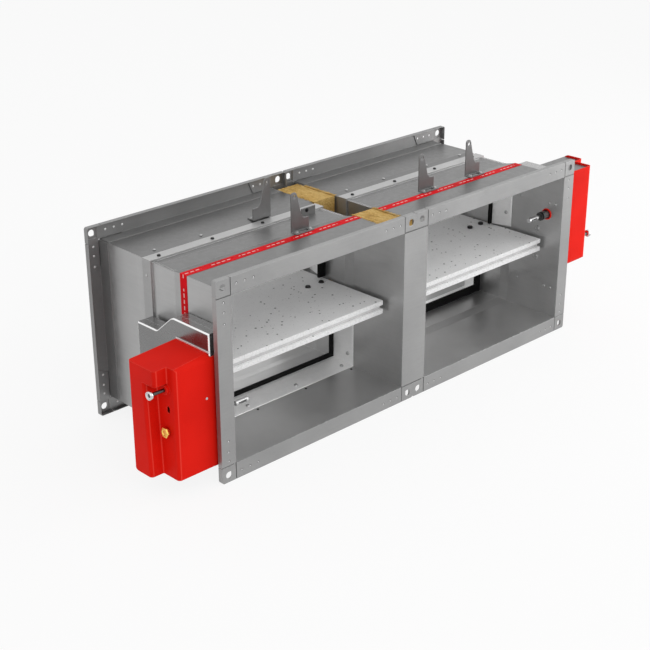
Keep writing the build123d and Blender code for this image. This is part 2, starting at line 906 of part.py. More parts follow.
# Joint bands over the seam behind the thermal break, and their rivets
with BuildPart() as joint_band:
    rear_ramp_rise = step_depth * (band_from + band_width - rear_step) / step_run
    add(
        frame_round_duct(
            [
                (band_from, casing_sheet - step_depth),
                (rear_step, casing_sheet - step_depth),
                (band_from + band_width, casing_sheet - step_depth + rear_ramp_rise),
                (band_from + band_width, band_rise),
                (band_from, band_rise),
            ]
        )
    )
export_pair("joint_bands", joint_band.part)

# Installation limit tape round the front casing, left off under the linkage housing
with BuildPart() as limit_tape:
    add(
        frame_round_duct(
            [
                (step_front - tape_width, casing_sheet),
                (step_front, casing_sheet),
                (step_front, casing_sheet + tape_sheet),
                (step_front - tape_width, casing_sheet + tape_sheet),
            ]
        )
    )
    extrude(housing_face(casing_side, 0), amount=-casing_sheet, mode=Mode.SUBTRACT)
export_pair("limit_tapes", limit_tape.part)

with BuildPart() as casing_rivets:
    for side in (-1, 1):
        with BuildSketch(Plane.XY.offset(side * (half_height + band_rise))):
            with Locations((0, band_from + band_rivet_inset)):
                with GridLocations(band_rivet_pitch, 1, band_rivets, 1):
                    Circle(rivet_radius)
        extrude(amount=side * rivet_height, taper=head_taper)
export_pair("casing_rivets", casing_rivets.part)

# Centre covers over the two inner flange bars, front and back
with BuildPart() as centre_covers:
    with BuildSketch(Plane.XZ.offset(damper_length / 2)):
        with Locations((0, mid_height)):
            Rectangle(2 * flange_width + unit_gap, duct_height)
    extrude(amount=-flange_sheet)
    mirror(about=Plane.XZ)
centre_covers.part.label = "centre_covers"
export_step(centre_covers.part, "parts/centre_covers.step")

# Mineral wool strips between the casings, in front of the wall and behind it
wool_width = unit_pitch - duct_width - 2 * (casing_sheet + flange_sheet)
with BuildPart() as mineral_wool_strips:
    for start, end in (
        (wool_end_inset, wall_front - wool_wall_gap),
        (wall_back, damper_length - wool_end_inset),
    ):
        with BuildSketch(Plane.XZ.offset(damper_length / 2 - start)):
            with Locations((0, mid_height)):
                Rectangle(wool_width, duct_height + 2 * casing_sheet)
        extrude(amount=start - end)
mineral_wool_strips.part.label = "mineral_wool_strips"
export_step(mineral_wool_strips.part, "parts/mineral_wool_strips.step")


def wall_lug(edge_x, face_y, across, foot_way, seat_z):
    """An upright sheet lug with a bent foot. Its straight edge is at edge_x."""
    outline = [
        (0, 0),
        (lug_width, 0),
        (lug_width, lug_shoulder),
        lug_waist,
        lug_heel,
        (lug_tip_width, lug_height),
        (0, lug_height),
    ]
    with BuildPart() as lug:
        upright = Plane(origin=(edge_x, face_y, seat_z), x_dir=(across, 0, 0), z_dir=(0, -across, 0))
        with BuildSketch(upright) as tongue:
            with BuildLine():
                Polyline(*outline, close=True)
            make_face()
            fillet(tongue.vertices().group_by(Axis.Y)[-1], lug_tip_round)
            with Locations((lug_hole_in, lug_height - lug_hole_down)):
                Circle(lug_hole_radius, mode=Mode.SUBTRACT)
        extrude(amount=lug_sheet / 2, both=True)
        window_x = edge_x + across * (lug_window_in + lug_window_width / 2)
        window_y = face_y + foot_way * (lug_window_out + lug_window_run / 2)
        with BuildSketch(Plane.XY.offset(seat_z)):
            with Locations((edge_x + across * lug_width / 2, face_y + foot_way * lug_foot / 2)):
                Rectangle(lug_width, lug_foot)
            with Locations((window_x, window_y)):
                Rectangle(lug_window_width, lug_window_run, mode=Mode.SUBTRACT)
        extrude(amount=lug_sheet)
    return lug.part


casing_top = mid_height + half_height + casing_sheet
front_lug_face = wall_front - damper_length / 2
back_lug_face = wall_back - damper_length / 2
front_seat = casing_top + tape_sheet
lugs = [wall_lug(edge, front_lug_face, 1, -1, front_seat) for edge in lug_edges_front]
lugs.append(wall_lug(lug_edge_back, back_lug_face, -1, 1, casing_top))

# Small upright angle that stands in the groove of the left damper
with BuildPart() as groove_angle:
    groove_floor = mid_height + throat_height / 2 + casing_sheet - groove_depth
    angle_front = axis_depth + angle_after_axis - damper_length / 2
    with BuildSketch(Plane.XY.offset(groove_floor)):
        with Locations((angle_left_edge, angle_front)):
            Rectangle(angle_width, angle_foot, align=Align.MIN)
    extrude(amount=lug_sheet)
    with BuildSketch(Plane.XY.offset(groove_floor)):
        with Locations((angle_left_edge, angle_front)):
            Rectangle(angle_width, lug_sheet, align=Align.MIN)
    extrude(amount=angle_height)
mounting_lugs = group(*lugs, groove_angle.part)
mounting_lugs.label = "mounting_lugs"
export_step(mounting_lugs, "parts/mounting_lugs.step")
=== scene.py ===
"""Looks of the twin fire damper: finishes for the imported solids, the small fasteners and pressed
details, a pale studio and the camera. Metres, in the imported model's own frame."""

import json
import math
import random

import bpy
from mathutils import Matrix, Vector


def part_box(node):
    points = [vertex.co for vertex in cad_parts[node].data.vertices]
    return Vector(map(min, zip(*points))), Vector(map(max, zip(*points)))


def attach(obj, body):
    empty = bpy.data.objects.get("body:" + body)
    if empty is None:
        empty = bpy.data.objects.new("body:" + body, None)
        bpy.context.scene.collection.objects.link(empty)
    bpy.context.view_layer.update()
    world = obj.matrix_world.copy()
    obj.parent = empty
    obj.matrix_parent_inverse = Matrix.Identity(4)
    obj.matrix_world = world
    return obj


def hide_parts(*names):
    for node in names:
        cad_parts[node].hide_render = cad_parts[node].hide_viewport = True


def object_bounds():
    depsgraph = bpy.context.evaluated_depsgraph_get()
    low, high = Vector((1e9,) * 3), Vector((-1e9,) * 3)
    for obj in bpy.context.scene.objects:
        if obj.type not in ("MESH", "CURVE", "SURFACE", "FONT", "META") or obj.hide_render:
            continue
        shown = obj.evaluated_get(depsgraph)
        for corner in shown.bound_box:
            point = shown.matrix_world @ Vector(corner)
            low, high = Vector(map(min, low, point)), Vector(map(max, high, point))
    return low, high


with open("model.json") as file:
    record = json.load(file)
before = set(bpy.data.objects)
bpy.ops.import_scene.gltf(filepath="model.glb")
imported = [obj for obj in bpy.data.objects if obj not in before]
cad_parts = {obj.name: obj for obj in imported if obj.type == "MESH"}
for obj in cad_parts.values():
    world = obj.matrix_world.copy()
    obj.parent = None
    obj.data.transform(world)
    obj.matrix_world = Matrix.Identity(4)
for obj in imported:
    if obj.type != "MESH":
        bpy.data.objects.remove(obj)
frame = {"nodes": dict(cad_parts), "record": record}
cad_low, cad_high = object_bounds()

MM = 0.001
SIDES = ("left", "right")
FIBRE_SEED = 11

# Places on one damper, from the middle of its front face
HALF_WIDTH = 200 * MM
HALF_HEIGHT = 150 * MM
LENGTH = 350 * MM
FLANGE_MIDDLE = 17 * MM
FLANGE_LEG_FACE = 2.5 * MM
INNER_LEG_FACE = 3.5 * MM
ACROSS_DIMPLES = (12 * MM, 30 * MM, 48 * MM)
UPRIGHT_DIMPLES = (9 * MM, 26 * MM, 46 * MM)
UPRIGHT_DIMPLES_ACROSS = HALF_WIDTH + FLANGE_MIDDLE - 2 * MM
CENTRE_COVER_HALF = 30 * MM
SEAM_HALF = 1.2 * MM
OUTER_FACES_FROM = 20 * MM
STOP_FROM = 125 * MM
STOP_TO = 166.2 * MM
STOP_RISE = 12.4 * MM
STOP_RIVETS = (-55 * MM, 62.4 * MM, 180.3 * MM)
STOP_RIVET_DEPTH = 137 * MM
STOP_RIVET_HEIGHTS = (-125 * MM, -45 * MM)
INSIDE_RIVET_SHIFT = 8 * MM
INSIDE_RIVET_DEPTHS = (119 * MM, LENGTH - 12 * MM)
MECHANISM_RIVET_DEPTHS = (17.5 * MM, 33 * MM, 104 * MM)
MECHANISM_RIVET_HEIGHT = 89 * MM
NUT_DEPTH = 59 * MM
NUT_HEIGHTS = (-30 * MM, 32 * MM)
BEHIND_BAND = (-164.6 * MM, -62.6 * MM, 62.6 * MM, 164.6 * MM)
BEHIND_BAND_DEPTH = 241 * MM
BESIDE_BAND_DEPTH = 218 * MM
BESIDE_BAND_HEIGHT = 121 * MM
BEHIND_BAND_FACE = HALF_HEIGHT + 1.5 * MM
BESIDE_BAND_FACE = HALF_WIDTH + 0.5 * MM
STEM_RADIUS = 3 * MM
KNOB_DISH = 3.4 * MM
BUTTON_HEAD = 4.7 * MM
BUTTON_STEM = 5 * MM
BUTTON_RIM = 1.1 * MM
BUTTON_RING = 2.0 * MM
BUTTON_RECESS = 1.2 * MM
FUSE_DEPTH = 37 * MM
FUSE_HEIGHT = -65 * MM
FUSE_RING = (19 * MM, 23 * MM)
FUSE_CAGE = 32 * MM
TANG_WIDTH = 20.4 * MM
PLUG_PLACE = (-245 * MM, 14 * MM, -20.4 * MM)
LID_FACE = -235 * MM
COVER_TOP = 54.5 * MM
COVER_DEPTHS = (15 * MM, 99 * MM)
TRIM_SHEET = 1.6 * MM
TRIM_RISE = 3.4 * MM
COVER_FRONT = 14 * MM
COVER_FACE = LID_FACE - 73 * MM
LOBE_FACE = LID_FACE - 98 * MM
LOBE_STEP = 21 * MM
LOBE_FRONT_HIGH = 33 * MM
LOBE_FRONT_LOW = 60 * MM
LOBE_LEAN = 6 / 169
FOLD_BEND = 5 * MM
HOLLOW_BEND = 0.7 * MM
EDGE_STRIP_BACK = 4 * MM
EDGE_STRIP_WIDTH = 2 * MM
SHAFT_GAP_DEEP = 20 * MM

# Places in the frame
WALL_FRONT = (136 - 175) * MM
WALL_BACK = (233 - 175) * MM
SHAFT_Y = (184 - 175) * MM
BARE_WOOL = 20 * MM
TAPE_SHEET = 0.4 * MM
LUG_SHEET = 2 * MM
LUG_EDGES_FRONT = (-175.5 * MM, 153.5 * MM, 289 * MM)
LUG_EDGE_BACK = -137 * MM
LUG_SCREWS_ACROSS = (6 * MM, 37 * MM)
LUG_SCREW_OUT = 8 * MM
ANGLE_SCREW = (-83 * MM, 19 * MM, 338.5 * MM)

# Sockets of the node that mixes two colours
MIX_SHARE, MIX_FIRST, MIX_SECOND, MIX_COLOUR = 0, 6, 7, 2


# Finishes


class Field:
    """A value that varies over a surface: a shader socket with plain arithmetic on it."""

    def __init__(self, finish, socket):
        self.finish = finish
        self.socket = socket

    def maths(self, operation, *values):
        return self.finish.node("Math", {"operation": operation}, list(values))

    def __add__(self, other):
        return self.maths("ADD", self, other)

    def __sub__(self, other):
        return self.maths("SUBTRACT", self, other)

    def __rsub__(self, other):
        return self.maths("SUBTRACT", other, self)

    def __mul__(self, other):
        return self.maths("MULTIPLY", self, other)

    def __pow__(self, other):
        return self.maths("POWER", self, other)

    def __gt__(self, other):
        return self.maths("GREATER_THAN", self, other)

    def __abs__(self):
        return self.maths("ABSOLUTE", self)

    __radd__ = __add__
    __rmul__ = __mul__

    def sign(self):
        return self.maths("SIGN", self)

    def fraction(self):
        return self.maths("FRACT", self)

    def smaller(self, other):
        return self.maths("MINIMUM", self, other)

    def larger(self, other):
        return self.maths("MAXIMUM", self, other)

    def fade(self, start, end):
        """0 at start and 1 at end, smoothly, whichever of them is larger."""
        settings = {"interpolation_type": "SMOOTHSTEP"}
        low, high = min(start, end), max(start, end)
        step = self.finish.node("MapRange", settings, {"Value": self, "From Min": low, "From Max": high})
        return step if start < end else 1 - step


class Finish:
    """A node material with one Principled shader, whose constants are its own sockets' values."""

    def __init__(self, name, **constants):
        self.material = bpy.data.materials.new(name)
        self.material.use_nodes = True
        self.shader = self.material.node_tree.nodes["Principled BSDF"]
        for socket, value in constants.items():
            self.shader.inputs[socket.replace("_", " ")].default_value = value
        self.place = self.node("TexCoord", output="Object")

    def node(self, kind, settings=None, inputs=(), output=0):
        made = self.material.node_tree.nodes.new("ShaderNode" + kind)
        for name, value in (settings or {}).items():
            setattr(made, name, value)
        pairs = inputs.items() if isinstance(inputs, dict) else enumerate(inputs)
        for key, value in pairs:
            if isinstance(value, Field):
                self.material.node_tree.links.new(value.socket, made.inputs[key])
            else:
                made.inputs[key].default_value = value
        return Field(self, made.outputs[output])

    def feed(self, **fields):
        for socket, value in fields.items():
            self.material.node_tree.links.new(value.socket, self.shader.inputs[socket.replace("_", " ")])

    def fed(self, socket):
        """What feeds one of the shader's sockets so far."""
        return Field(self, self.shader.inputs[socket].links[0].from_socket)

    def noise(self, scale, detail=2.0, rough=0.5, where=None):
        inputs = {"Vector": where or self.place, "Scale": scale, "Detail": detail, "Roughness": rough}
        return self.node("TexNoise", {}, inputs)

    def cells(self, scale, output="Distance"):
        return self.node("TexVoronoi", {}, {"Vector": self.place, "Scale": scale}, output)

    def facing(self):
        """The way the surface faces, along the three axes."""
        return self.axes(self.node("TexCoord", output="Normal"))

    def outer_faces(self):
        """1 on the faces that look sideways away from the duct, and the same for up and down."""
        x, _, z = self.axes()
        facing_x, _, facing_z = self.facing()
        sideways = (abs(x) - unit_middle) * x.sign() * facing_x > OUTER_FACES_FROM
        upright = (z - mid_height) * facing_z > OUTER_FACES_FROM
        return sideways, upright

    def axes(self, vector=None):
        """The three parts of a vector, by default of the place on the object."""
        split = self.node("SeparateXYZ", {}, [vector or self.place]).socket.node
        return [Field(self, socket) for socket in split.outputs]

    def stretched(self, x, y, z):
        """The place on the object with each axis scaled, for grain that runs one way."""
        return self.node("Mapping", {}, {"Vector": self.place, "Scale": (x, y, z)})

    def mix(self, first, second, share):
        first, second = [c if isinstance(c, Field) else (*c, 1) for c in (first, second)]
        inputs = {MIX_SHARE: share, MIX_FIRST: first, MIX_SECOND: second}
        return self.node("Mix", {"data_type": "RGBA"}, inputs, MIX_COLOUR)

    def darker(self, colour, share, where):
        """The colour, keeping only a share of itself where a mask is 1."""
        shade = self.mix(grey(1.0), grey(share), where)
        settings = {"data_type": "RGBA", "blend_type": "MULTIPLY"}
        inputs = {MIX_SHARE: 1.0, MIX_FIRST: colour, MIX_SECOND: shade}
        return self.node("Mix", settings, inputs, MIX_COLOUR)

    def relief(self, height, depth, normal=None):
        inputs = {"Height": height, "Distance": depth, "Strength": 1.0}
        if normal:
            inputs["Normal"] = normal
        return self.node("Bump", {}, inputs)

    def softened(self, radius):
        """The surface's normal with its edges rounded off."""
        return self.node("Bevel", {"samples": 4}, {"Radius": radius})

    def edges(self, rounded, start=0.99, end=0.8):
        """1 along the edges of the piece and 0 on its faces."""
        flat = self.node("NewGeometry", output="Normal")
        facing = self.node("VectorMath", {"operation": "DOT_PRODUCT"}, [rounded, flat], "Value")
        return facing.fade(start, end)


def grey(value, warmth=0.0):
    return (value * (1 + warmth), value, value * (1 - warmth))


def sheet_metal(
    name, shade, roughness, metallic=0.8, spangle=0.03, edge_wear_and_highlight=0.5, edge=0.8 * MM, painted_outer_shade=None
):
    """Zinc-coated sheet: cloudy, finely grained, with faint crystals, and cut edges lighter as wear and
    painted highlight.

    The outer faces may be darker than the rolled inside, as painted shade: the two shares given are what
    the outer sides and the outer top and bottom keep of the colour."""
    finish = Finish(name, Metallic=metallic)
    cloud = finish.noise(7, 3, 0.6)
    grain = finish.noise(700, 2)
    rolled = finish.noise(1, 2, 0.5, finish.stretched(18, 18, 260))
    crystal = finish.axes(finish.cells(140, "Color"))[0]
    tone = 0.5 * cloud + spangle * crystal + 0.16 * grain + 0.12 * rolled
    colour = finish.mix(grey(shade * 0.82), grey(shade * 1.16, 0.004), tone.fade(0.1, 0.78))
    # Painted shade: the outer sides, top and bottom are made darker than the inside.
    if painted_outer_shade:
        for share, faces in zip(painted_outer_shade, finish.outer_faces()):
            colour = finish.darker(colour, share, faces)
    rounded = finish.softened(edge)
    # Lighter edges: partly wear, partly painted highlight.
    rubbed_and_highlit = finish.edges(rounded) * (0.55 + 0.45 * cloud)
    colour = finish.mix(colour, grey(min(1.0, shade * 1.7)), rubbed_and_highlit * edge_wear_and_highlight)
    rough = roughness + 0.22 * (cloud - 0.5) + 0.1 * (crystal - 0.5) + 0.08 * grain - 0.06 * rubbed_and_highlit
    finish.feed(
        Base_Color=colour,
        Roughness=rough,
        Normal=finish.relief(grain + 0.8 * rolled + 0.5 * cloud, 0.00006, rounded),
    )
    return finish


def housing_sheet():
    """The linkage housing: smooth zinc, with painted shade on its flanks and a painted highlight along its
    rounded folds.
    """
    finish = sheet_metal(
        "linkage_housing_zinc",
        shade=0.52,
        roughness=0.20,
        metallic=0.9,
        spangle=0.02,
        edge_wear_and_highlight=0.8,
        edge=1.2 * MM,
        painted_outer_shade=(0.42, 0.8),
    )
    # Painted highlight: the rounded folds, whose normal lies partly across, are made nearly white.
    facing_x = abs(finish.facing()[0])
    fold_highlight = facing_x.fade(0.12, 0.3) * facing_x.fade(0.985, 0.93)
    finish.feed(Base_Color=finish.mix(finish.fed("Base Color"), grey(0.97), fold_highlight * 0.95))
    return finish


def pressed_joints(finish):
    """The round press-joint marks at the ends of the flange bars, on both outer faces: painted shade and a
    painted highlight in each dish, and painted shadow in the gaps round the corner squares.
    """
    x, y, z = finish.axes()
    along = abs(abs(x) - unit_middle)
    height = abs(z - mid_height)
    outer_face = abs(y).fade(LENGTH / 2 - 0.8 * MM, LENGTH / 2 - 0.3 * MM)
    nearest = None
    marks = [(HALF_WIDTH - d, HALF_HEIGHT + FLANGE_MIDDLE) for d in ACROSS_DIMPLES]
    marks += [(UPRIGHT_DIMPLES_ACROSS, HALF_HEIGHT - d) for d in UPRIGHT_DIMPLES]
    for mark_x, mark_z in marks:
        away = ((along - mark_x) ** 2 + (height - mark_z) ** 2) ** 0.5
        nearest = nearest.smaller(away) if nearest else away
    on_bars = outer_face * (abs(x) - CENTRE_COVER_HALF).fade(0, 1 * MM)
    # Painted shade: a dark ring round each dish; painted highlight: a pale middle.
    ring = nearest.fade(2.4 * MM, 1.9 * MM) * nearest.fade(0.9 * MM, 1.4 * MM) * on_bars
    button = nearest.fade(1.3 * MM, 0.8 * MM) * on_bars
    dish = nearest.fade(2.8 * MM, 1.0 * MM) * on_bars
    # Painted shadow in the gaps round the corner squares, on the outer faces.
    beside = abs(along - HALF_WIDTH).fade(SEAM_HALF, 0.3 * MM) * (height > HALF_HEIGHT - SEAM_HALF)
    below = abs(height - HALF_HEIGHT).fade(SEAM_HALF, 0.3 * MM) * (along > HALF_WIDTH - SEAM_HALF)
    seam_shadow = beside.larger(below) * outer_face
    return ring, button, dish, seam_shadow


def flange_metal():
    """The flanges' smoother, lighter zinc, with press-joint marks in painted shade and highlight, and
    painted shadow in the corner gaps.
    """
    finish = sheet_metal("flange_zinc", shade=0.34, roughness=0.36, metallic=0.75, edge_wear_and_highlight=0.45)
    ring, button, dish, seam_shadow = pressed_joints(finish)
    # The dark ring and the gaps are painted shade; the pale middle is a painted highlight.
    colour = finish.mix(finish.fed("Base Color"), grey(0.08), (ring * 0.8).larger(seam_shadow * 0.85))
    colour = finish.mix(colour, grey(0.9), button)
    pressed = finish.relief(0 - dish, 0.0012, finish.fed("Normal"))
    finish.feed(Base_Color=colour, Normal=pressed)
    return finish


def blade_board(name, edge_shade):
    """Fire board: grey speckled faces and nearly white cut edges."""
    finish = Finish(name, Roughness=0.8, Metallic=0.0)
    on_face = abs(finish.facing()[2]).fade(0.4, 0.7)
    cloud = finish.noise(14, 4, 0.6)
    fibre = finish.noise(420, 3, 0.7)
    size, kind, _ = finish.axes(finish.cells(95, "Color"))
    speck = (finish.cells(95) - 0.17 * size).fade(0.06, 0.0) * (kind > 0.3)
    pale = (finish.cells(170) - 0.05).fade(0.1, 0.0) * (finish.axes(finish.cells(170, "Color"))[0] > 0.6)
    crumb = (finish.cells(230) - 0.1).fade(0.12, 0.0) * (finish.axes(finish.cells(230, "Color"))[1] > 0.55)
    face = finish.mix(grey(0.88), grey(0.98), (0.45 * cloud + 0.55 * fibre).fade(0.25, 0.75))
    face = finish.mix(face, grey(0.98), pale * 0.55)
    face = finish.mix(face, grey(0.34), crumb * 0.5)
    face = finish.mix(face, grey(0.08), speck * 0.9)
    cut = finish.mix(grey(edge_shade * 0.82), grey(edge_shade), fibre.fade(0.3, 0.6))
    rounded = finish.softened(0.8 * MM)
    pits = fibre - 0.8 * speck + 0.3 * cloud
    finish.feed(Base_Color=finish.mix(cut, face, on_face), Normal=finish.relief(pits, 0.0004, rounded))
    return finish


def edge_strip():
    """The pale strip between the boards at the blade's edge, matted like the boards' cut edges."""
    finish = Finish("edge_strip_white", Roughness=0.7)
    fibre = finish.noise(500, 3, 0.7)
    cloud = finish.noise(60, 3)
    colour = finish.mix(grey(0.46), grey(0.68), (0.6 * fibre + 0.4 * cloud).fade(0.25, 0.7))
    finish.feed(Base_Color=colour, Normal=finish.relief(0.4 * fibre + 0.3 * cloud, 0.0008))
    return finish


def rubber(name, shade):
    finish = Finish(name, Metallic=0.0, Specular_IOR_Level=0.12)
    cloud = finish.noise(30, 3)
    grain = finish.noise(900, 2)
    dust = (0.6 * cloud + 0.4 * grain).fade(0.4, 0.8)
    finish.feed(
        Base_Color=finish.mix(grey(shade), grey(shade * 2.2), dust),
        Roughness=0.65 + 0.25 * grain,
        Normal=finish.relief(grain, 0.0002, finish.softened(0.5 * MM)),
    )
    return finish


def plated(name, colour, roughness, wear_and_highlight=0.5):
    """Plated or blackened small parts, lighter along the edges as wear and as painted highlight."""
    finish = Finish(name, Metallic=1.0)
    cloud = finish.noise(60, 3, 0.6)
    scratch = finish.noise(1, 3, 0.6, finish.stretched(900, 60, 900))
    rounded = finish.softened(0.35 * MM)
    # Lighter edges: partly wear, partly painted highlight.
    edge = finish.edges(rounded)
    dark = tuple(c * 0.72 for c in colour)
    light = tuple(min(1.0, c * 1.5 + 0.04) for c in colour)
    tinted = finish.mix(dark, colour, (0.6 * cloud + 0.4 * scratch).fade(0.25, 0.7))
    finish.feed(
        Base_Color=finish.mix(tinted, light, edge * wear_and_highlight),
        Roughness=roughness + 0.18 * (cloud - 0.5) + 0.12 * scratch,
        Normal=finish.relief(scratch, 0.00005, rounded),
    )
    return finish


def knob_metal():
    """The release knob: a bright rim round a darker dished middle, on a dark polished stem."""
    finish = plated("knob_chrome", grey(0.70), roughness=0.18, wear_and_highlight=0.4)
    _, y, z = finish.axes()
    knob_low, knob_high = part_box("left_release_knob")
    knob_y, knob_z = (knob_low.y + knob_high.y) / 2, (knob_low.z + knob_high.z) / 2
    off_axis = ((y - knob_y) ** 2 + (abs(z - mid_height) - abs(knob_z - mid_height)) ** 2) ** 0.5
    inner = off_axis.fade(KNOB_DISH + 0.3 * MM, KNOB_DISH - 0.3 * MM)
    finish.feed(Base_Color=finish.darker(finish.fed("Base Color"), 0.16, inner))
    return finish


def cover_folds(finish):
    """1 along the upright folds of the covers, where a painted highlight is laid, with some wear of the
    moulding.
    """
    x, y, z = finish.axes()
    across = unit_middle - abs(x)
    depth = y - cad_low.y
    height = (mid_height - z) * x.sign()
    above = height > LOBE_STEP
    leaning = LOBE_FRONT_LOW + (height - LOBE_STEP) * LOBE_LEAN
    lobe_front = above * LOBE_FRONT_HIGH + (1 - above) * leaning
    folds = [
        (COVER_FACE + FOLD_BEND, COVER_FRONT),
        (LOBE_FACE + FOLD_BEND, lobe_front),
        (COVER_FACE - HOLLOW_BEND, lobe_front - HOLLOW_BEND),
    ]
    lines = None
    for fold_across, fold_depth in folds:
        away = ((across - fold_across) ** 2 + (depth - fold_depth) ** 2) ** 0.5
        line = away.fade(1.5 * MM, 0.4 * MM)
        lines = lines.larger(line) if lines else line
    return lines


def moulded_red():
    """The covers' satin red plastic with a fine grain, and a painted highlight along its edges and folds."""
    finish = Finish("moulded_red", Specular_IOR_Level=0.06)
    cloud = finish.noise(9, 3)
    pebble = finish.noise(620, 2, 0.6)
    rounded = finish.softened(1.2 * MM)
    # Painted highlight: a paler red along the edges and folds, partly wear of the moulding.
    edge = finish.edges(rounded, 0.998, 0.95).larger(cover_folds(finish) * 0.62)
    mottle = (0.7 * cloud + 0.3 * pebble).fade(0.25, 0.7)
    colour = finish.mix((0.67, 0.008, 0.003), (0.79, 0.012, 0.005), mottle)
    finish.feed(
        Base_Color=finish.mix(colour, (0.95, 0.10, 0.07), edge * 0.75),
        Roughness=0.36 + 0.16 * pebble + 0.08 * cloud,
        Normal=finish.relief(pebble, 0.00012, rounded),
    )
    return finish


def fuse_holder_metal():
    """The fuse holder: a satin barrel, a black ring at its end and a paler cage."""
    finish = Finish("fuse_holder_metal", Metallic=0.9)
    x, _, _ = finish.axes()
    reach = HALF_WIDTH + unit_middle - abs(x)
    start, end = FUSE_RING
    ring = reach.fade(start - 0.2 * MM, start + 0.2 * MM) * reach.fade(end + 0.2 * MM, end - 0.2 * MM)
    cage = reach.fade(FUSE_CAGE - 0.5 * MM, FUSE_CAGE)
    brushed = finish.noise(1, 3, 0.6, finish.stretched(60, 900, 900))
    rounded = finish.softened(0.35 * MM)
    colour = finish.mix(grey(0.10), grey(0.24), brushed.fade(0.3, 0.7))
    colour = finish.mix(colour, grey(0.62), cage)
    finish.feed(
        Base_Color=finish.mix(colour, grey(0.01), ring),
        Roughness=0.25 + 0.15 * brushed + 0.3 * ring,
        Normal=finish.relief(brushed, 0.00006, rounded),
    )
    return finish


def marked_tape():
    """Glossy red tape with plain white dashes in place of its print."""
    finish = Finish("limit_tape_red", Specular_IOR_Level=0.06)
    x, y, z = finish.axes()
    line = abs(y - tape_middle).fade(1.5 * MM, 1.1 * MM)
    group = ((x + z) * 16).fraction() > 0.3
    dash = line * group * (((x + z) * 90).fraction() > 0.35)
    cloud = finish.noise(25, 3)
    colour = finish.mix((0.55, 0.002, 0.006), (0.76, 0.005, 0.012), cloud.fade(0.3, 0.7))
    finish.feed(
        Base_Color=finish.mix(colour, (0.85, 0.62, 0.6), dash * 0.8),
        Roughness=0.45 + 0.2 * cloud,
        Normal=finish.relief(finish.noise(110, 3), 0.0003),
    )
    return finish


def stone_wool():
    """Mineral wool: thin matted layers of yellow and brown fibre."""
    finish = Finish("mineral_wool_fibre", Roughness=0.95)
    warp = finish.noise(40, 3, 0.6)
    lay = finish.noise(1, 4, 0.65, finish.stretched(300, 34, 300))
    fluff = finish.noise(520, 4, 0.75)
    crumb = finish.noise(150, 3, 0.6)
    tone = 0.5 * lay + 0.3 * fluff + 0.3 * warp
    colour = finish.node("ValToRGB", {}, [tone.fade(0.25, 0.85)])
    ramp = colour.socket.node.color_ramp
    ramp.elements[0].color = (0.20, 0.09, 0.02, 1)
    ramp.elements[1].color = (0.88, 0.66, 0.28, 1)
    middle = ramp.elements.new(0.45)
    middle.color = (0.62, 0.38, 0.10, 1)
    finish.feed(Base_Color=colour, Normal=finish.relief(lay + 0.7 * fluff + 0.5 * crumb, 0.003))
    return finish


low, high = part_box("left_front_casing")
unit_middle = -(low.x + high.x) / 2
mid_height = (low.z + high.z) / 2
casing_top = high.z
low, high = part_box("limit_tapes")
tape_middle = (low.y + high.y) / 2

finishes = {
    # Painted shade: the casings' outer tops keep 0.42 of their colour and their outer sides 0.85.
    "galvanised_sheet": sheet_metal(
        "galvanised_sheet",
        shade=0.50,
        roughness=0.34,
        metallic=0.85,
        spangle=0.05,
        edge_wear_and_highlight=0.4,
        painted_outer_shade=(0.85, 0.42),
    ),
    "bright_sheet": sheet_metal("bright_sheet", shade=0.80, roughness=0.38, metallic=0.6, spangle=0.04),
    "flange_sheet": flange_metal(),
    "black_seal": rubber("seal_rubber", shade=0.004),
    "mineral_board": blade_board("mineral_board", edge_shade=0.84),
    "edge_seal": edge_strip(),
    "zinc_steel": plated("zinc_steel", grey(0.5), roughness=0.35),
    "bearing_bronze": plated("bearing_bronze", (0.42, 0.27, 0.12), roughness=0.4),
    "black_steel": plated("black_steel", grey(0.04), roughness=0.42, wear_and_highlight=0.35),
    "red_cover": moulded_red(),
    "knob_chrome": knob_metal(),
    "brass": plated("brass", (0.98, 0.66, 0.16), roughness=0.24),
    "mineral_wool": stone_wool(),
    "red_tape": marked_tape(),
}
# Painted shade: the rear flange bars and corners get a darker copy of the flange zinc.
rear_flange = sheet_metal("rear_flange_zinc", shade=0.27, roughness=0.42)
# Painted shade: the joint bands' outer sides keep 0.75 of their colour.
band_metal = sheet_metal(
    "joint_band_zinc", shade=0.50, roughness=0.40, metallic=0.7, edge_wear_and_highlight=0.4, painted_outer_shade=(0.75, 1.0)
)
lug_metal = sheet_metal("lug_zinc", shade=0.22, roughness=0.44, edge_wear_and_highlight=0.8)
stop_metal = sheet_metal("stop_zinc", shade=0.93, roughness=0.38, metallic=0.55, spangle=0.04)
housing_metal = housing_sheet()
fuse_metal = fuse_holder_metal()
dark_bolts = plated("blackened_bolts", grey(0.05), roughness=0.45, wear_and_highlight=0.3)
node_finishes = {
    "rear_flange_bars": rear_flange,
    "rear_corner_pieces": rear_flange,
    "joint_bands": band_metal,
    "mounting_lugs": lug_metal,
}
for side in SIDES:
    node_finishes[f"{side}_front_stop"] = stop_metal
    node_finishes[f"{side}_rear_stop"] = stop_metal
    node_finishes[f"{side}_linkage_tray"] = housing_metal
    node_finishes[f"{side}_linkage_lid"] = housing_metal
    node_finishes[f"{side}_thermal_fuse"] = fuse_metal
    node_finishes[f"{side}_blade_bolts"] = dark_bolts
slots = {part["node"]: part["material_slot"] for part in frame["record"]["subparts"]}
for node, solid in frame["nodes"].items():
    chosen = node_finishes.get(node, finishes[slots[node]])
    solid.data.materials.clear()
    solid.data.materials.append(chosen.material)


# Pieces


def select_only(*objects):
    """Selects these objects and nothing else, with the first of them active."""
    bpy.ops.object.select_all(action="DESELECT")
    for chosen in objects:
        chosen.select_set(True)
    bpy.context.view_layer.objects.active = objects[0]


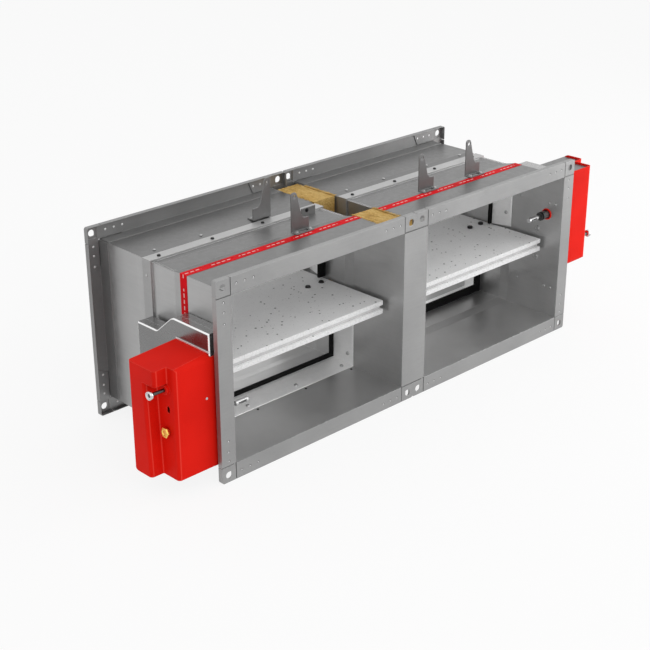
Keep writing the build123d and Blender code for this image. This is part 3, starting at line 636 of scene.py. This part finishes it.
def settle(piece):
    """Writes a piece's place, turn and size into its mesh."""
    select_only(piece)
    bpy.ops.object.transform_apply(location=True, rotation=True, scale=True)
    return piece


def edit_all(piece):
    """Opens a piece for editing, with all of it selected."""
    select_only(piece)
    bpy.ops.object.mode_set(mode="EDIT")
    bpy.ops.mesh.select_all(action="SELECT")


def edit_faces(piece, wanted):
    """Opens a piece for editing, with the faces selected whose normal has a wanted rise."""
    edit_all(piece)
    bpy.ops.mesh.select_all(action="DESELECT")
    bpy.ops.mesh.select_mode(type="FACE")
    bpy.ops.object.mode_set(mode="OBJECT")
    for face in piece.data.polygons:
        face.select = wanted(face.normal.z)
    bpy.ops.object.mode_set(mode="EDIT")


def modify(piece, kind, **settings):
    """Gives a piece a modifier and applies it."""
    modifier = piece.modifiers.new(kind.lower(), kind)
    for name, value in settings.items():
        setattr(modifier, name, value)
    select_only(piece)
    bpy.ops.object.modifier_apply(modifier=modifier.name)


def cut_away(piece, cutter):
    """Takes the form of a cutter out of a piece."""
    modify(piece, "BOOLEAN", object=cutter, operation="DIFFERENCE")
    bpy.data.objects.remove(cutter)


def joined(parts):
    """One piece made of several."""
    select_only(*parts)
    if len(parts) > 1:
        bpy.ops.object.join()
    return parts[0]


def copy_to(form, places):
    """One piece made of a copy of the form at each place, each with its own mesh."""
    copies = []
    for place in places:
        twin = form.copy()
        twin.data = form.data.copy()
        twin.data.transform(place)
        bpy.context.scene.collection.objects.link(twin)
        copies.append(twin)
    bpy.data.objects.remove(form)
    return joined(copies)


def seat(side):
    """From a place on one damper to its place in the frame; the right one is turned half round."""
    x = -unit_middle if side == "left" else unit_middle
    turn = Matrix.Identity(4) if side == "left" else Matrix.Rotation(math.pi, 4, "Y")
    return Matrix.Translation((x, cad_low.y, mid_height)) @ turn


def standing(place, way):
    """Turns a form that rises along Z to rise along another way, at a place."""
    return Matrix.Translation(place) @ Vector(way).to_track_quat("Z", "Y").to_matrix().to_4x4()


def standing_out(side, low, high):
    """Turns a form that rises along Z to rise out of the duct's side, from a box's inner end."""
    start, way = (high.x, -1) if side == "left" else (low.x, 1)
    return standing((start, (low.y + high.y) / 2, (low.z + high.z) / 2), (way, 0, 0))


def finish_piece(piece, name, slot, body, *solids, angle=35):
    """Names a piece, gives it its finish, and lets it ride on its body in place of some solids."""
    edit_all(settle(piece))
    bpy.ops.mesh.normals_make_consistent(inside=False)
    bpy.ops.object.mode_set(mode="OBJECT")
    bpy.ops.object.shade_smooth_by_angle(angle=math.radians(angle))
    piece.name = piece.data.name = name
    piece.data.materials.clear()
    piece.data.materials.append(finishes[slot].material)
    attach(piece, body)
    if solids:
        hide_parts(*solids)


def block(size, place=(0, 0, 0), turn=0.0):
    """A box round a place, turned about its upright axis."""
    bpy.ops.mesh.primitive_cube_add(size=1, location=place, rotation=(0, 0, turn))
    made = bpy.context.object
    made.scale = size
    return made


def turned(rings, sides=24):
    """A turned form that rises along Z, from a disc extruded and resized ring by ring."""
    (radius, height), *others = rings
    bpy.ops.mesh.primitive_circle_add(vertices=sides, radius=radius, fill_type="NGON", location=(0, 0, 0))
    form = bpy.context.object
    edit_all(form)
    bpy.ops.transform.translate(value=(0, 0, height))
    for next_radius, next_height in others:
        step = {"value": (0, 0, next_height - height)}
        bpy.ops.mesh.extrude_region_move(TRANSFORM_OT_translate=step)
        share = next_radius / radius
        bpy.ops.transform.resize(value=(share, share, 1))
        radius, height = next_radius, next_height
    bpy.ops.object.mode_set(mode="OBJECT")
    return form


def dome_rivet(radius, height):
    rings = [(radius * 0.98, 0), (radius, height * 0.15), (radius * 0.86, height * 0.6)]
    rings += [(radius * 0.55, height * 0.92), (radius * 0.2, height)]
    return turned(rings, 16)


def place_rivets(side, name, slot, rivet, places):
    """A rivet at each place on one damper, all as one piece."""
    heads = copy_to(rivet, [seat(side) @ place for place in places])
    finish_piece(heads, f"{side}_{name}", slot, "root")


def cross_screw(radius, height):
    """A pan-head screw on its washer, with a cross recess cut into the head."""
    washer = radius * 1.45
    rings = [(washer, 0), (washer, height * 0.25), (radius, height * 0.26)]
    rings += [(radius, height * 0.7), (radius * 0.8, height * 0.95), (radius * 0.5, height)]
    head = turned(rings)
    for turn in (0, math.pi / 2):
        cut_away(head, block((radius * 1.1, radius * 0.26, height * 0.7), (0, 0, height), turn))
    return head


def flange_rivets():
    """The rivet heads behind the corner legs, on the sides that face the wall."""
    spots = []
    for x_way in (-1, 1):
        upright_face = FLANGE_LEG_FACE if x_way < 0 else INNER_LEG_FACE
        for z_way in (-1, 1):
            height = z_way * (HALF_HEIGHT + FLANGE_MIDDLE)
            spots += [(x_way * (HALF_WIDTH - gap), FLANGE_LEG_FACE, height) for gap in ACROSS_DIMPLES]
            across = x_way * UPRIGHT_DIMPLES_ACROSS
            spots += [(across, upright_face, z_way * (HALF_HEIGHT - gap)) for gap in UPRIGHT_DIMPLES]
    for flange in ("front", "rear"):
        heads = []
        for side in SIDES:
            for x, y, z in spots:
                depth, way = (y, 1) if flange == "front" else (LENGTH - y, -1)
                heads.append(seat(side) @ standing((x, depth, z), (0, way, 0)))
        rivets = copy_to(dome_rivet(radius=2.2 * MM, height=0.9 * MM), heads)
        finish_piece(rivets, f"{flange}_flange_rivets", "bright_sheet", "root")


def stop_rivets(side):
    """Rivets through the sloping front stop, and smaller dark ones on the casing beside the stops."""
    run = STOP_TO - STOP_FROM
    rise = STOP_RISE * (STOP_RIVET_DEPTH - STOP_FROM) / run
    slopes = [((x, STOP_RIVET_DEPTH, rise - HALF_HEIGHT), (0, -STOP_RISE, run)) for x in STOP_RIVETS]
    for x_way in (-1, 1):
        across = x_way * (HALF_WIDTH - rise)
        way = (-x_way * run, -STOP_RISE, 0)
        slopes += [((across, STOP_RIVET_DEPTH, z), way) for z in STOP_RIVET_HEIGHTS]
    places = [standing(place, way) for place, way in slopes]
    rivet = dome_rivet(radius=3.8 * MM, height=2.4 * MM)
    place_rivets(side, "stop_rivets", "zinc_steel", rivet, places)
    front, rear = INSIDE_RIVET_DEPTHS
    places = [standing((x + INSIDE_RIVET_SHIFT, front, -HALF_HEIGHT), (0, 0, 1)) for x in STOP_RIVETS]
    places += [standing((x - INSIDE_RIVET_SHIFT, rear, HALF_HEIGHT), (0, 0, -1)) for x in STOP_RIVETS]
    rivet = dome_rivet(radius=2.4 * MM, height=1.2 * MM)
    place_rivets(side, "casing_inside_rivets", "black_steel", rivet, places)


def wall_fixings(side):
    """Rivets and rivet nuts inside the duct that hold the mechanism on its side wall."""
    places = []
    for height in (-MECHANISM_RIVET_HEIGHT, MECHANISM_RIVET_HEIGHT):
        places += [standing((-HALF_WIDTH, depth, height), (1, 0, 0)) for depth in MECHANISM_RIVET_DEPTHS]
    rivet = dome_rivet(radius=2.8 * MM, height=1.4 * MM)
    place_rivets(side, "mechanism_rivets", "zinc_steel", rivet, places)
    rings = [(6.0, 0), (6.0, 1.0), (5.4, 1.5), (3.4, 1.5), (3.0, 0.6)]
    nut = turned([(radius * MM, height * MM) for radius, height in rings], 20)
    places = [standing((-HALF_WIDTH, NUT_DEPTH, height), (1, 0, 0)) for height in NUT_HEIGHTS]
    place_rivets(side, "rivet_nuts", "zinc_steel", nut, places)


def band_fixings(side):
    """The rivets beside the joint band, on the rear casing and down the sides."""
    places = []
    for z_way in (-1, 1):
        face = z_way * BEHIND_BAND_FACE
        places += [standing((x, BEHIND_BAND_DEPTH, face), (0, 0, z_way)) for x in BEHIND_BAND]
    for z in (-BESIDE_BAND_HEIGHT, BESIDE_BAND_HEIGHT):
        places.append(standing((-BESIDE_BAND_FACE, BESIDE_BAND_DEPTH, z), (-1, 0, 0)))
    rivet = dome_rivet(radius=3.0 * MM, height=1.6 * MM)
    place_rivets(side, "band_rivets", "zinc_steel", rivet, places)


def release_knob(side):
    """The dished knob on its stem, with a stop collar inside the cover."""
    low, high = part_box(f"{side}_release_knob")
    reach = high.x - low.x
    radius = (high.z - low.z) / 2
    rings = [
        (STEM_RADIUS, 0),
        (STEM_RADIUS, 2.7 * MM),
        (2 * STEM_RADIUS, 2.8 * MM),
        (2 * STEM_RADIUS, 5.6 * MM),
        (STEM_RADIUS, 5.7 * MM),
        (STEM_RADIUS, reach - 7.5 * MM),
        (radius * 0.62, reach - 7.0 * MM),
        (radius * 0.96, reach - 5.2 * MM),
        (radius, reach - 4.0 * MM),
        (radius, reach - 1.2 * MM),
        (radius * 0.93, reach - 0.2 * MM),
        (radius * 0.84, reach),
        (radius * 0.74, reach - 0.3 * MM),
        (radius * 0.66, reach - 1.5 * MM),
        (radius * 0.34, reach - 2.2 * MM),
        (radius * 0.26, reach - 1.4 * MM),
        (radius * 0.1, reach - 1.2 * MM),
    ]
    knob = turned(rings, 40)
    knob.data.transform(standing_out(side, low, high))
    finish_piece(knob, f"{side}_knob", "knob_chrome", f"{side}_knob", f"{side}_release_knob")


def fuse_button(side):
    """The hexagonal fuse button: chamfered flats, a turned rim and a shallow test recess."""
    low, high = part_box(f"{side}_fuse_button")
    reach = high.x - low.x
    radius = (high.y - low.y) / 2
    stem = turned([(BUTTON_STEM, 0), (BUTTON_STEM, reach - BUTTON_HEAD)])
    bpy.ops.mesh.primitive_cylinder_add(
        vertices=6, radius=radius, depth=BUTTON_HEAD, location=(0, 0, reach - BUTTON_HEAD / 2)
    )
    head = settle(bpy.context.object)
    edit_faces(head, lambda rise: rise > 0.9)
    bpy.ops.mesh.inset(thickness=BUTTON_RIM)
    bpy.ops.mesh.inset(thickness=BUTTON_RING)
    bpy.ops.mesh.extrude_region_move(TRANSFORM_OT_translate={"value": (0, 0, -BUTTON_RECESS)})
    bpy.ops.transform.resize(value=(0.8, 0.8, 1))
    bpy.ops.object.mode_set(mode="OBJECT")
    modify(head, "BEVEL", width=0.8 * MM, segments=2, angle_limit=math.radians(50))
    button = joined([head, stem])
    flats_upright = Matrix.Rotation(math.pi / 6, 4, "Z")
    button.data.transform(standing_out(side, low, high) @ flats_upright)
    finish_piece(button, f"{side}_button", "brass", f"{side}_button", f"{side}_fuse_button", angle=25)


def fuse_gasket(side):
    """The red gasket where the fuse enters the duct."""
    gasket = turned([(11.5 * MM, 0), (11.5 * MM, 1.2 * MM), (10.6 * MM, 2.0 * MM), (9.6 * MM, 2.0 * MM)], 32)
    gasket.data.transform(seat(side) @ standing((-HALF_WIDTH, FUSE_DEPTH, FUSE_HEIGHT), (1, 0, 0)))
    finish_piece(gasket, f"{side}_fuse_gasket", "red_cover", "root")


def cover_plug(side):
    """The small pale plug in the front of the cover."""
    plug = turned([(2.2 * MM, 0), (2.2 * MM, 0.4 * MM), (1.6 * MM, 0.9 * MM), (0.6 * MM, 1.0 * MM)], 16)
    plug.data.transform(seat(side) @ standing(PLUG_PLACE, (0, -1, 0)))
    finish_piece(plug, f"{side}_cover_plug", "edge_seal", "root")


def cover_trim(side):
    """The thin upright sheet lip on the lid, just above the cover's top edge."""
    start, end = COVER_DEPTHS
    lip = settle(block((TRIM_SHEET, end - start, TRIM_RISE)))
    modify(lip, "BEVEL", width=0.5 * MM, segments=2)
    spot = (LID_FACE - TRIM_SHEET / 2, (start + end) / 2, COVER_TOP + TRIM_RISE / 2 + 0.1 * MM)
    lip.data.transform(seat(side) @ Matrix.Translation(spot))
    finish_piece(lip, f"{side}_cover_trim", "bright_sheet", "root")


def blade_edge_strip(side):
    """The pale strip in the blade's edge, set back between the two boards, open at the shafts."""
    node = f"{side}_blade_edge_seal"
    board_low, board_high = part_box(f"{side}_blade_upper_board")
    low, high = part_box(node)
    middle = (board_low + board_high) / 2
    middle.z = (low.z + high.z) / 2
    half_across = (board_high.x - board_low.x) / 2 - EDGE_STRIP_BACK
    half_along = (board_high.y - board_low.y) / 2 - EDGE_STRIP_BACK
    strip = settle(block((2 * half_across, 2 * half_along, high.z - low.z)))
    edit_faces(strip, lambda rise: abs(rise) > 0.9)
    bpy.ops.mesh.inset(thickness=EDGE_STRIP_WIDTH)
    bpy.ops.mesh.bridge_edge_loops()
    bpy.ops.object.mode_set(mode="OBJECT")
    modify(strip, "BEVEL", width=0.4 * MM, segments=2)
    strip.data.transform(Matrix.Translation(middle))
    for way in (-1, 1):
        place = (middle.x + way * half_across, SHAFT_Y, mid_height)
        cut_away(strip, block((SHAFT_GAP_DEEP, TANG_WIDTH, SHAFT_GAP_DEEP), place))
    finish_piece(strip, f"{side}_blade_strip", "edge_seal", f"{side}_blade", node, angle=30)


def loose_fibres(low, high, start, end, rng):
    """Fibres that stick out of a wool strip's top edges, over the casings."""
    bpy.ops.mesh.primitive_cone_add(
        vertices=4, radius1=0.9 * MM, radius2=0.15 * MM, depth=1, location=(0, 0, 0.5)
    )
    fibre = settle(bpy.context.object)
    first = start + (BARE_WOOL if start < 0 else 1 * MM)
    last = end - (1 * MM if start < 0 else BARE_WOOL)
    places = []
    for edge, way in ((low.x, -1), (high.x, 1)):
        y = first
        while y < last:
            reach = rng.uniform(3, 8.5) * MM
            root = (edge - way * 2 * MM, y, high.z - 0.2 * MM)
            lie = Vector((way, rng.uniform(-0.5, 0.5), rng.uniform(0.0, 0.16)))
            places.append(standing(root, lie) @ Matrix.Diagonal((1, 1, reach, 1)))
            y += rng.uniform(0.8, 2.0) * MM
    return copy_to(fibre, places)


def wool_strips():
    """The two wool strips, matted and ragged, with loose fibres over the casings' edges."""
    low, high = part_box("mineral_wool_strips")
    rng = random.Random(FIBRE_SEED)
    fluff = bpy.data.textures.new("wool_fluff", "CLOUDS")
    fluff.noise_scale = 0.006
    fluff.noise_depth = 4
    parts = []
    for start, end in ((low.y, WALL_FRONT - 1 * MM), (WALL_BACK, high.y)):
        size = (high.x - low.x, end - start, high.z - low.z)
        slab = settle(block(size, (0, (start + end) / 2, (low.z + high.z) / 2)))
        edit_all(slab)
        bpy.ops.mesh.subdivide(number_cuts=30)
        bpy.ops.object.mode_set(mode="OBJECT")
        modify(slab, "DISPLACE", texture=fluff, strength=3 * MM, mid_level=1.0, texture_coords="GLOBAL")
        parts += [slab, loose_fibres(low, high, start, end, rng)]
    finish_piece(joined(parts), "wool_strips", "mineral_wool", "root", "mineral_wool_strips", angle=20)


def lug_screws():
    """Two screws through each lug's foot, one each side of its window, and one in the small angle."""
    places = []
    for edge in LUG_EDGES_FRONT:
        for across in LUG_SCREWS_ACROSS:
            spot = (edge + across, WALL_FRONT - LUG_SCREW_OUT, casing_top + TAPE_SHEET + LUG_SHEET)
            places.append(Matrix.Translation(spot))
    for across in LUG_SCREWS_ACROSS:
        spot = (LUG_EDGE_BACK - across, WALL_BACK + LUG_SCREW_OUT, casing_top + LUG_SHEET)
        places.append(Matrix.Translation(spot))
    screws = copy_to(cross_screw(radius=3.0 * MM, height=2.4 * MM), places)
    finish_piece(screws, "lug_screws", "zinc_steel", "root", angle=30)
    screw = cross_screw(radius=2.6 * MM, height=2.2 * MM)
    screw.data.transform(standing(ANGLE_SCREW, (0, -1, 0)))
    finish_piece(screw, "groove_angle_screw", "black_steel", "root", angle=30)


flange_rivets()
wool_strips()
lug_screws()
for side in SIDES:
    stop_rivets(side)
    wall_fixings(side)
    band_fixings(side)
    release_knob(side)
    fuse_button(side)
    fuse_gasket(side)
    cover_plug(side)
    cover_trim(side)
    blade_edge_strip(side)


# Studio and camera

CAMERA_PLACE = Vector((-1693.27, -1694.23, 1147.27)) * MM
CAMERA_AZIMUTH = -44.015
CAMERA_ELEVATION = 23.801
CAMERA_ROLL = math.radians(-0.170)
CAMERA_LENS = 75.58
CAMERA_SENSOR = 36
CAMERA_REACH = 60
WORLD_LIGHT = 0.68
FLOOR_SHADE = 0.86
FLOOR_GLOW = 0.86
FLOOR_BELOW = 0.3 * MM


def seen_from(azimuth, elevation):
    """The way from the object to a viewer, for angles in degrees."""
    a, e = math.radians(azimuth), math.radians(elevation)
    return Vector((math.sin(a) * math.cos(e), -math.cos(a) * math.cos(e), math.sin(e)))


def set_camera():
    """The photograph's viewpoint."""
    data = bpy.data.cameras.new("camera")
    data.sensor_width = CAMERA_SENSOR
    data.lens = CAMERA_LENS
    data.clip_end = CAMERA_REACH
    camera = bpy.data.objects.new("camera", data)
    aim = standing(CAMERA_PLACE, seen_from(CAMERA_AZIMUTH, CAMERA_ELEVATION))
    camera.matrix_world = aim @ Matrix.Rotation(CAMERA_ROLL, 4, "Z")
    bpy.context.scene.collection.objects.link(camera)
    bpy.context.scene.camera = camera


def soft_box(name, azimuth, elevation, distance, size, power):
    """A square lamp that looks at the middle of the object."""
    back = seen_from(azimuth, elevation)
    data = bpy.data.lights.new(name, "AREA")
    data.size = size
    data.energy = power
    lamp = bpy.data.objects.new(name, data)
    lamp.matrix_world = standing((cad_low + cad_high) / 2 + back * distance, back)
    bpy.context.scene.collection.objects.link(lamp)


def seen_directly(tree):
    """1 for what the camera sees, also in a reflection or through glass."""
    rays = tree.nodes.new("ShaderNodeLightPath")
    seen = rays.outputs["Is Camera Ray"]
    for output in ("Is Glossy Ray", "Is Transmission Ray"):
        larger = tree.nodes.new("ShaderNodeMath")
        larger.operation = "MAXIMUM"
        tree.links.new(seen, larger.inputs[0])
        tree.links.new(rays.outputs[output], larger.inputs[1])
        seen = larger.outputs[0]
    return seen


def show_camera(tree, share, lighting, shown, output):
    """Shows the camera a share of one shader, and gives all other light the other one."""
    part = tree.nodes.new("ShaderNodeMath")
    part.operation = "MULTIPLY"
    part.inputs[1].default_value = share
    tree.links.new(seen_directly(tree), part.inputs[0])
    mixed = tree.nodes.new("ShaderNodeMixShader")
    for socket, source in zip(mixed.inputs, (part, lighting, shown)):
        tree.links.new(source.outputs[0], socket)
    tree.links.new(mixed.outputs[0], tree.nodes[output].inputs["Surface"])


def set_world():
    """A soft white light from all round, and a pure white background."""
    world = bpy.data.worlds.new("studio")
    bpy.context.scene.world = world
    world.use_nodes = True
    tree = world.node_tree
    soft = tree.nodes["Background"]
    white = tree.nodes.new("ShaderNodeBackground")
    for background, strength in ((soft, WORLD_LIGHT), (white, 1.0)):
        background.inputs["Color"].default_value = (1, 1, 1, 1)
        background.inputs["Strength"].default_value = strength
    show_camera(tree, 1.0, soft, white, "World Output")


def lay_floor():
    """A pale plain floor just under the lowest flange edge, which keeps the shadow."""
    bpy.ops.mesh.primitive_plane_add(size=40, location=(0, 0, cad_low.z - FLOOR_BELOW))
    floor = bpy.context.object
    floor.name = "floor"
    colour = (*grey(FLOOR_SHADE), 1)
    finish = Finish("floor_pale", Base_Color=colour, Roughness=0.9, Specular_IOR_Level=0.1)
    tree = finish.material.node_tree
    glow = tree.nodes.new("ShaderNodeEmission")
    glow.inputs["Strength"].default_value = 1.0
    show_camera(tree, FLOOR_GLOW, finish.shader, glow, "Material Output")
    floor.data.materials.append(finish.material)


set_camera()
set_world()
soft_box("key_lamp", azimuth=60, elevation=8, distance=2.2, size=2.2, power=31)
soft_box("front_lamp", azimuth=-8, elevation=40, distance=3.0, size=2.4, power=15)
soft_box("fill_lamp", azimuth=-60, elevation=25, distance=3.4, size=2.4, power=5)
soft_box("top_lamp", azimuth=160, elevation=70, distance=3.0, size=2.4, power=5)
lay_floor()
bpy.context.scene.view_settings.view_transform = "Standard"
